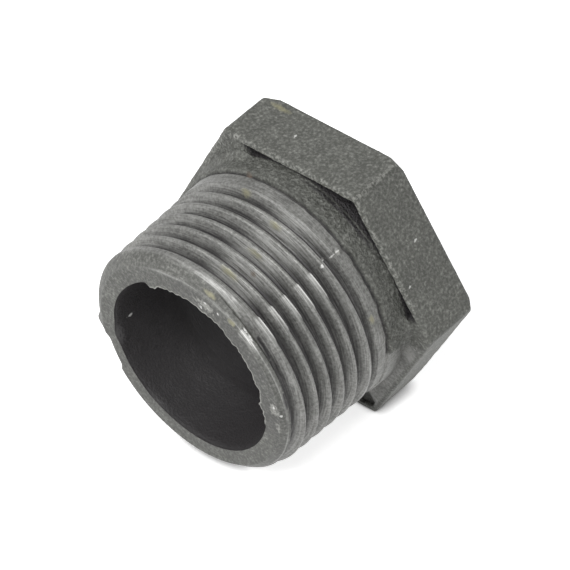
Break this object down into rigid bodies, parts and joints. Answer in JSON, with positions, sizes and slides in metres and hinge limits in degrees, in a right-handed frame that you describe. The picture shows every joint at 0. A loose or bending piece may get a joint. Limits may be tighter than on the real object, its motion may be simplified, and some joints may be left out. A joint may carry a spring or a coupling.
{
  "type": "hex bushing",
  "caption": "Hexagon-headed reducing bushing in malleable iron: taper pipe thread outside, parallel pipe thread inside, bored right through.",
  "frame": {"origin": "centre of the head's outer face, on the bushing's axis", "axes": "-Y along the axis, from the head to the nose of the male thread; +Z out of the head flat that lies on top, with the opposite flat down; +X completes the frame"},
  "size_m": [0.0426, 0.029, 0.037],
  "materials": {
    "cast_body": "sand-cast skin in dark grey, threads freshly cut"
  },
  "bodies": {
    "root": {"hex_bushing": "cast_body"}
  },
  "joints": []
}
